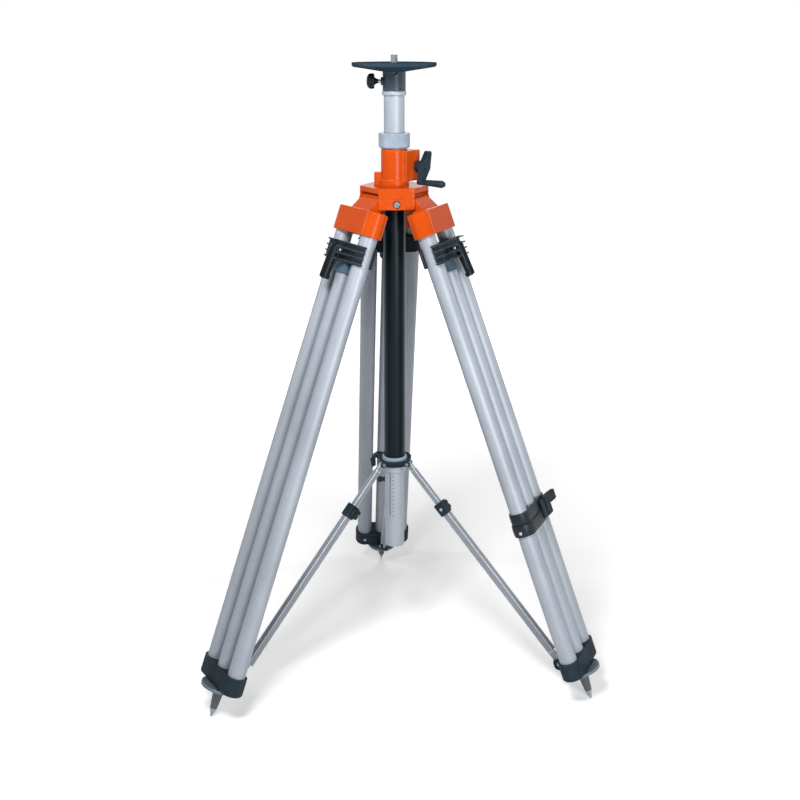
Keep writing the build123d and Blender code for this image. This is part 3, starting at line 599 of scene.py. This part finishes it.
def paint_nodes():
    """Gives each carried-over node its finish. Drawn tubes get lines along their own axis."""
    finishes = {node: materials.get(slot) for node, slot in node_slots.items()}
    finishes["column_tube"] = scaled_aluminium().material
    finishes["crank_arm"] = materials["crank_paint"]
    # Head screws take the darker steel, painted shade.
    finishes["head_screws"] = materials["screw_steel_painted_shade"]
    finishes["brace_pins"] = materials["pin_steel"]
    for leg in LEGS:
        finishes[f"{leg}_outer_tubes"] = materials[f"{leg}_tube"]
        finishes[f"{leg}_inner_tube"] = materials[f"{leg}_tube"]
        finishes[f"{leg}_foot"] = materials[f"{leg}_foot"]
        finishes[f"{leg}_strut_rod"] = materials[f"{leg}_bar"]
        finishes[f"{leg}_strut_tube"] = materials[f"{leg}_bar"]
        finishes[f"{leg}_clamp_carriage"] = materials["clamp_plastic"]
        finishes[f"{leg}_clamp_lever"] = materials["lever_plastic"]
    for node, finish in finishes.items():
        mesh = nodes[node].data
        mesh.materials.clear()
        mesh.materials.append(finish)


# Pieces with finer shapes than the solids


def add_instrument_screw():
    """The screw on the plate with its thread."""
    low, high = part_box("fixing_screw")
    radius = mounts["instrument_screw"]["dims"]["r_mm"] / 1000
    depth = SCREW_DEPTH * SCREW_PITCH
    shank = (high.x - low.x) / 2
    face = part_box("head_plate")[1].z
    start = face + SCREW_PITCH / 2
    end = high.z - SCREW_PITCH / 2

    def thread(r, height, angle):
        if not start < height < end:
            return r
        turn = (height / SCREW_PITCH - angle / (2 * math.pi)) % 1.0
        return r - depth * abs(2 * turn - 1)

    rows = 8
    count = round((end - start) / SCREW_PITCH * rows)
    heights = [start + (end - start) * i / count for i in range(count + 1)]
    outline = [(0, low.z), (shank, low.z), (shank, face), (radius - depth, face)]
    outline += [(radius, height) for height in heights]
    outline += [(radius - depth, high.z), (0, high.z)]
    piece = lathe("instrument_screw", outline, Matrix.Identity(4), 48, thread)
    dress(piece, "head", "bright_steel", "fixing_screw", finish="thread_steel")


def add_lock_ring():
    """The column lock with its fine knurl."""
    low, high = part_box("column_lock_ring")
    radius = (high.x - low.x) / 2
    bore = 0.0238
    skirt = 0.0293
    lip = 0.006
    flutes = 90
    groove = 0.0004
    band_low = low.z + 0.006
    band_high = high.z - 0.004
    play = 1e-6

    def knurl(r, height, angle):
        if r < radius or not band_low - play <= height <= band_high + play:
            return r
        return r - groove * (0.5 - 0.5 * math.cos(angle * flutes))

    outline = [
        (skirt, low.z),
        (radius - 0.003, low.z),
        (radius, low.z + 0.003),
        (radius, band_low - 0.0005),
        (radius, band_low),
        (radius, band_high),
        (radius, band_high + 0.0005),
        (radius, high.z - 0.0012),
        (radius - 0.0004, high.z - 0.0004),
        (radius - 0.0015, high.z),
        (bore, high.z),
        (bore, high.z - lip),
        (skirt, high.z - lip),
    ]
    piece = lathe("lock_ring_knurled", outline, Matrix.Identity(4), flutes * 6, knurl)
    dress(piece, "lock_ring", "grey_ring", "column_lock_ring")


def add_clamp_knob():
    """The knob of the head clamp with its domed face, flutes and waisted neck."""
    low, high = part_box("clamp_knob")
    centre = (low + high) / 2
    out = Vector(joints["head_clamp_turn"]["axis"])
    if out.dot(centre) < 0:
        out = -out

    def flute(r, along, angle):
        if along <= KNOB_BACK:
            return r
        return r - KNOB_FLUTE * (r / KNOB_R) ** 3 * (0.5 + 0.5 * math.cos(KNOB_FLUTES * angle))

    outline = [
        (0, KNOB_BACK),
        (KNOB_BORE, KNOB_BACK),
        (KNOB_BORE, KNOB_INNER),
        (0.0049, KNOB_INNER),
        (0.0052, KNOB_INNER + 0.0020),
        (0.0061, KNOB_INNER + 0.0045),
        (0.0076, KNOB_INNER + 0.0069),
        (0.0092, KNOB_BACK),
        (KNOB_R - 0.0030, KNOB_BACK + 0.0002),
        (KNOB_R - 0.0009, KNOB_BACK + 0.0013),
        (KNOB_R, KNOB_BACK + 0.0038),
        (KNOB_R, KNOB_END - 0.0095),
        (KNOB_R - 0.0007, KNOB_END - 0.0067),
        (KNOB_R - 0.0026, KNOB_END - 0.0040),
        (KNOB_R - 0.0060, KNOB_END - 0.0018),
        (KNOB_R - 0.0110, KNOB_END - 0.0005),
        (0, KNOB_END),
    ]
    place = axis_place((0, 0, centre.z), out)
    piece = lathe("head_clamp_knob", outline, place, KNOB_FLUTES * 12, flute)
    dress(piece, "knob", "black_plastic", "clamp_knob", finish="knob_plastic")


def stadium_point(radius, share):
    """A point on a round-ended loop about the leg's tubes, and its outward direction."""
    straight = 2 * TUBE_HALF
    arc = math.pi * radius
    at = (share % 1.0) * 2 * (straight + arc)
    if at < straight:
        return Vector((LEG_PLANE + radius, at - TUBE_HALF, 0)), Vector((1, 0, 0))
    at -= straight
    if at < arc:
        out = Vector((math.cos(at / radius), math.sin(at / radius), 0))
        return Vector((LEG_PLANE, TUBE_HALF, 0)) + out * radius, out
    at -= arc
    if at < straight:
        return Vector((LEG_PLANE - radius, TUBE_HALF - at, 0)), Vector((-1, 0, 0))
    at -= straight
    out = Vector((-math.cos(at / radius), -math.sin(at / radius), 0))
    return Vector((LEG_PLANE, -TUBE_HALF, 0)) + out * radius, out


def band_section():
    """Section of the strap, a flat band with round edges: outward and upward offsets."""
    lip = STRAP_THICK / 2
    straight = STRAP_WIDTH / 2 - lip
    crown = (STRAP_THICK + STRAP_CROWN, straight * 0.5)
    section = [(0, -straight), (0, straight)]
    for degrees in (135, 90, 45):
        angle = math.radians(degrees)
        section.append((lip + lip * math.cos(angle), straight + lip * math.sin(angle)))
    section += [crown, (crown[0], -crown[1])]
    for degrees in (-45, -90, -135):
        angle = math.radians(degrees)
        section.append((lip + lip * math.cos(angle), -straight + lip * math.sin(angle)))
    return section


def add_band(name, inner, middle):
    """One turn of the strap."""
    place = leg_place("right")
    section = band_section()
    points = []
    faces = []
    count = len(section)
    for i in range(BAND_STEPS):
        at, out = stadium_point(inner, i / BAND_STEPS)
        for away, rise in section:
            points.append(place @ (at + out * away + Vector((0, 0, middle + rise))))
    for i in range(BAND_STEPS):
        j = (i + 1) % BAND_STEPS
        for k in range(count):
            m = (k + 1) % count
            faces.append([i * count + k, j * count + k, j * count + m, i * count + m])
    return add_mesh(name, points, faces)


def add_block(name, low, high, place, round_edge):
    """A block between two corners, with rounded edges."""
    points = []
    for x in (low[0], high[0]):
        for y in (low[1], high[1]):
            for z in (low[2], high[2]):
                points.append(place @ Vector((x, y, z)))
    faces = [[0, 1, 3, 2], [4, 6, 7, 5], [0, 4, 5, 1], [2, 3, 7, 6], [0, 2, 6, 4], [1, 5, 7, 3]]
    return soften(add_mesh(name, points, faces), round_edge, 3)


def add_tail(place, start):
    """The strap's free end, which stands out past the buckle and is cut to a blunt point."""
    half = STRAP_WIDTH / 2
    points = []
    faces = []
    for i in range(TAIL_STEPS + 1):
        share = i / TAIL_STEPS
        y = TAIL_START + (TAIL_END - TAIL_START) * share
        x = start + TAIL_CURL * share * share
        narrow = half * (1 - 0.2 * max(0.0, (share - TAIL_POINT) / (1 - TAIL_POINT)))
        for away, rise in ((0, -narrow), (0, narrow), (STRAP_THICK, narrow), (STRAP_THICK, -narrow)):
            points.append(place @ Vector((x + away, y, -STRAP_DROP + half + rise)))
    for i in range(TAIL_STEPS):
        for k in range(4):
            m = (k + 1) % 4
            faces.append([4 * i + k, 4 * i + m, 4 * i + 4 + m, 4 * i + 4 + k])
    faces += [[0, 1, 2, 3], [4 * TAIL_STEPS + k for k in (3, 2, 1, 0)]]
    return soften(add_mesh("strap_tail", points, faces), STRAP_THICK * 0.3)


def add_strap():
    """The two turns of the transport strap, its buckle, free end and rivet."""
    place = leg_place("right")
    upper = TUBE_R + STRAP_GAP
    lower = upper + STRAP_STEP
    top_band = add_band("strap_upper_turn", upper, -STRAP_DROP + STRAP_WIDTH / 2)
    low_band = add_band("strap_lower_turn", lower, -STRAP_DROP - STRAP_WIDTH / 2)
    dress(top_band, "right_leg", "webbing", "transport_strap")
    dress(low_band, "right_leg", "webbing", "transport_strap")
    near = LEG_PLANE + lower + STRAP_THICK
    far = near + BUCKLE_OUT
    low = -STRAP_DROP - BUCKLE_HEIGHT / 2
    high = -STRAP_DROP + BUCKLE_HEIGHT / 2
    start = BUCKLE_MIDDLE - BUCKLE_WIDE / 2
    end = BUCKLE_MIDDLE + BUCKLE_WIDE / 2
    step = BUCKLE_PLATE
    blocks = {
        "buckle_plate": ((near, start, low), (near + step, end, high)),
        "buckle_bar": ((near, start, low + step), (far - step, start + BUCKLE_BAR, high - step)),
        "buckle_clasp": ((near, end - BUCKLE_CLASP, low), (far, end, high)),
    }
    for name, (corner, opposite) in blocks.items():
        block = add_block(name, corner, opposite, place, BUCKLE_ROUND)
        dress(block, "right_leg", "black_plastic", "strap_buckle")
    dress(add_tail(place, near + step), "right_leg", "webbing")
    out = lower + STRAP_THICK + STRAP_CROWN
    at = place @ Vector((LEG_PLANE, -TUBE_HALF - out, -STRAP_DROP - STRAP_WIDTH * 0.6))
    rivet("strap_rivet", at, place.to_3x3() @ Vector((0, -1, 0)), STRAP_RIVET, "right_leg")


def add_crank_caps():
    """Dark caps over the end of the crank shaft and of the grip."""
    shaft = joints["crank_turn"]
    grip = joints["grip_spin"]
    axis = Vector(shaft["axis"])
    at = Vector(shaft["pos_m"])
    at += axis * (CRANK_FACE - at.dot(axis))
    cap = lathe("crank_shaft_cap", CRANK_CAP, axis_place(at, axis), 40)
    dress(cap, "crank", "blue_grey_paint", finish="crank_paint")
    end = Vector(grip["pos_m"])
    end += axis * (GRIP_END - end.dot(axis))
    outline = [
        (0, -0.004),
        (GRIP_R, -0.004),
        (GRIP_R * 0.96, -0.002),
        (GRIP_R * 0.8, 0.0),
        (GRIP_R * 0.45, 0.0012),
        (0, 0.0016),
    ]
    dress(lathe("grip_cap", outline, axis_place(end, axis), 40), "grip", "black_plastic")


def add_collar(leg):
    """The lighter sleeve round the collar of a clamp carriage."""
    place = leg_place(leg)
    place.translation = place @ Vector((LEG_PLANE, 0, -COLLAR_TOP))
    inner = COLLAR_R - 0.0004
    outer = COLLAR_R + 0.0007
    low = -COLLAR_HEIGHT
    top = -0.0002
    outline = [(inner, low), (outer - 0.0006, low), (outer, low + 0.0008), (outer, top), (inner, top)]
    sleeve = lathe(f"{leg}_collar_sleeve", outline, place, 64)
    dress(sleeve, f"{leg}_extension", "blue_grey_paint", finish="sleeve_paint")


def add_leg_rivets(leg):
    """Bright rivets of a leg: clamp pin, shoe and brace joint."""
    place = leg_place(leg)
    turn = place.to_3x3()
    across = turn @ Vector((0, 1, 0))
    pin = Vector(joints[f"{leg}_leg_clamp"]["pos_m"])
    lug = place @ Vector((LEG_PLANE - LUG_DEPTH, 0, -LUG_DROP))
    for side, mark in ((-1, "a"), (1, "b")):
        axis = across * side
        rivet(f"{leg}_lever_pin_{mark}", pin + axis * LEVER_END, axis, PIN_RIVET, f"{leg}_leg_lever")
        at = place @ Vector((LEG_PLANE - SHOE_R, side * TUBE_HALF, -SHOE_TOP - SHOE_RIVET_DROP))
        rivet(f"{leg}_shoe_rivet_{mark}", at, turn @ Vector((-1, 0, 0)), PIN_RIVET, f"{leg}_leg")
    clamp = Vector(joints[f"{leg}_strut_clamp"]["pos_m"]) - across * 2 * CLAMP_SIDE
    rivet(f"{leg}_clamp_rivet", clamp, -across, CLAMP_RIVET, f"{leg}_strut_slider")
    rivet(f"{leg}_lug_rivet", lug + across * LUG_SIDE, across, LUG_RIVET, f"{leg}_leg")
    rivet(f"{leg}_cheek_rivet", lug - across * CHEEK_FAR, -across, LUG_RIVET, f"{leg}_leg")


def add_plate(name, outline, near, far, place, round_edge):
    """A flat plate with an outline in X and Z, between two distances along Y."""
    points = [place @ Vector((x, y, z)) for y in (near, far) for x, z in outline]
    count = len(outline)
    faces = [list(range(count)), list(range(2 * count - 1, count - 1, -1))]
    for i in range(count):
        j = (i + 1) % count
        faces.append([i, j, count + j, count + i])
    return soften(add_mesh(name, points, faces), round_edge)


def add_cheek(leg):
    """The second cheek of a shoe's brace lug."""
    root = LEG_PLANE - SHOE_R + 0.001
    tip = LEG_PLANE - LUG_DEPTH - CHEEK_REACH
    corner = 0.006
    top = -LUG_DROP + CHEEK_UP
    outline = [
        (root, top),
        (tip + corner, top),
        (tip + corner * 0.3, top - corner * 0.3),
        (tip, top - corner),
        (tip, -LUG_DROP - corner),
        (tip + corner * 0.6, -LUG_DROP - CHEEK_UP),
        (root, -LUG_DROP - CHEEK_DOWN),
    ]
    cheek = add_plate(f"{leg}_lug_cheek", outline, -CHEEK_FAR, -CHEEK_NEAR, leg_place(leg), 0.0008)
    dress(cheek, f"{leg}_leg", "black_plastic")


def add_bar_end(leg):
    """The half of the brace's tube that goes on beside the lug."""
    place = leg_place(leg)
    lug = place @ Vector((LEG_PLANE - LUG_DEPTH, 0, -LUG_DROP))
    across = place.to_3x3() @ Vector((0, 1, 0))
    along = Vector(joints[f"{leg}_strut_slide"]["axis"])
    if along.dot(lug - Vector(joints[f"{leg}_strut_turn"]["pos_m"])) > 0:
        along = -along
    frame_at = Matrix((along, across, along.cross(across))).transposed().to_4x4()
    frame_at.translation = lug
    outline = [(BAR_GAP, -BAR_HALF), (BAR_END, -BAR_HALF), (BAR_END, BAR_HALF), (BAR_GAP, BAR_HALF)]
    bar = add_plate(f"{leg}_bar_end", outline, -BAR_HALF, -0.0004, frame_at, 0.0006)
    dress(bar, f"{leg}_strut_slider", "satin_aluminium", finish=f"{leg}_bar")


def add_lever_rims(leg):
    """The rims along the sides of a clamp lever and over its head."""
    place = leg_place(leg)
    place.translation = Vector(joints[f"{leg}_leg_clamp"]["pos_m"])
    outer = LEVER_HEAD_R + RIM_HIGH
    inner = LEVER_HEAD_R - RIM_HIGH
    foot = -LEVER_LENGTH - 0.004
    arc = [math.radians(degrees) for degrees in range(0, 90, 12)]
    outline = [
        (inner + LEVER_FLARE, foot),
        (outer + LEVER_FLARE - 0.0016, foot),
        (outer + LEVER_FLARE, foot + 0.003),
    ]
    outline += [(outer * math.cos(angle), outer * math.sin(angle)) for angle in arc]
    outline += [(inner * math.cos(angle), inner * math.sin(angle)) for angle in reversed(arc)]
    for side, mark in ((-1, "a"), (1, "b")):
        near, far = sorted((side * LEVER_HALF, side * (LEVER_HALF - RIM_WIDE)))
        rim = add_plate(f"{leg}_lever_rim_{mark}", outline, near, far, place, 0.0005)
        dress(rim, f"{leg}_leg_lever", "black_plastic", finish="lever_plastic")


def add_guide_collar():
    """The light ring in the hub's dish, round the foot of the guide tube."""
    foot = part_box("guide_tube")[0].z
    outline = [(radius, foot + height) for radius, height in DISH_RING]
    dress(lathe("guide_collar", outline, Matrix.Identity(4), 72), "base", "grey_ring")


add_instrument_screw()
add_lock_ring()
add_clamp_knob()
add_guide_collar()
add_strap()
add_crank_caps()
for leg_name in LEGS:
    add_leg_rivets(leg_name)
    add_collar(leg_name)
    add_cheek(leg_name)
    add_bar_end(leg_name)
    add_lever_rims(leg_name)
paint_nodes()

# Camera


def add_camera():
    """The photograph's camera."""
    data = bpy.data.cameras.new("camera")
    data.sensor_width = 36
    data.lens = FOCAL_PX / IMAGE_PX * data.sensor_width
    data.shift_y = CAMERA_SHIFT
    camera = bpy.data.objects.new("camera", data)
    bpy.context.scene.collection.objects.link(camera)
    level = math.cos(CAMERA_PITCH)
    ahead = Vector((math.sin(CAMERA_YAW) * level, math.cos(CAMERA_YAW) * level, -math.sin(CAMERA_PITCH)))
    camera.location = CAMERA_AT
    camera.rotation_mode = "QUATERNION"
    camera.rotation_quaternion = ahead.to_track_quat("-Z", "Y")
    bpy.context.scene.camera = camera


# Floor, world and lamps


def seen_directly(tree):
    """1 for camera, glossy and transmission rays, otherwise 0."""
    path = tree.nodes.new("ShaderNodeLightPath")
    total = path.outputs["Is Camera Ray"]
    for kind in ("Is Glossy Ray", "Is Transmission Ray"):
        larger = tree.nodes.new("ShaderNodeMath")
        larger.operation = "MAXIMUM"
        tree.links.new(total, larger.inputs[0])
        tree.links.new(path.outputs[kind], larger.inputs[1])
        total = larger.outputs[0]
    return total


def add_floor():
    """A pale floor with the object's shadow. It glows where lamps reach less, so that it stays white."""
    size = 40.0
    corners = [(-size, -size, 0), (size, -size, 0), (size, size, 0), (-size, size, 0)]
    floor = add_mesh("floor", corners, [[0, 1, 2, 3]])
    shader = Shader("floor", 0.9)
    shader.set(Specular_IOR_Level=0.0, Emission_Color=(1, 1, 1, 1))
    shader.colour(shader.patches(shader.noise(0.6), (0.88, 0.88, 0.88), (0.91, 0.91, 0.91)))
    away = shader.node("ShaderNodeVectorMath", operation="LENGTH")
    shader.link(shader.object, away.inputs[0])
    glow = shader.remap(away.outputs["Value"], (FLOOR_NEAR, FLOOR_FAR), FLOOR_GLOW)
    glow = shader.math("MULTIPLY", seen_directly(shader.tree), glow)
    shader.link(glow, shader.surface.inputs["Emission Strength"])
    floor.data.materials.append(shader.material)


def add_world():
    """A white background that adds a little light to the object."""
    world = bpy.data.worlds.new("studio")
    bpy.context.scene.world = world
    world.use_nodes = True
    tree = world.node_tree
    background = tree.nodes["Background"]
    background.inputs["Color"].default_value = (1, 1, 1, 1)
    strength = tree.nodes.new("ShaderNodeMapRange")
    strength.inputs["To Min"].default_value = WORLD_LIGHT
    strength.inputs["To Max"].default_value = 1.0
    tree.links.new(seen_directly(tree), strength.inputs["Value"])
    tree.links.new(strength.outputs["Result"], background.inputs["Strength"])


def add_lamp(name, at, aim, width, height, power):
    """A soft rectangular lamp that faces a point."""
    data = bpy.data.lights.new(name, "AREA")
    data.shape = "RECTANGLE"
    data.size = width
    data.size_y = height
    data.energy = power
    lamp = bpy.data.objects.new(name, data)
    bpy.context.scene.collection.objects.link(lamp)
    lamp.location = at
    lamp.rotation_mode = "QUATERNION"
    lamp.rotation_quaternion = (Vector(aim) - Vector(at)).to_track_quat("-Z", "Y")


add_camera()
add_floor()
add_world()
add_lamp("key", (-0.6, -1.5, 2.35), HEAD_AIM, 0.6, 0.6, 48)
add_lamp("front", (0.9, -2.3, 1.0), HEAD_AIM, 1.0, 0.8, 36)
add_lamp("left", (-2.5, -0.05, 2.0), HEAD_AIM, 0.2, 1.0, 10)
add_lamp("right", (2.6, 0.3, 1.85), HEAD_AIM, 0.2, 1.0, 12)
add_lamp("back", (0.4, 3.6, 3.2), (0, 0, 0.8), 2.4, 2.4, 62)
bpy.context.scene.view_settings.view_transform = "Standard"
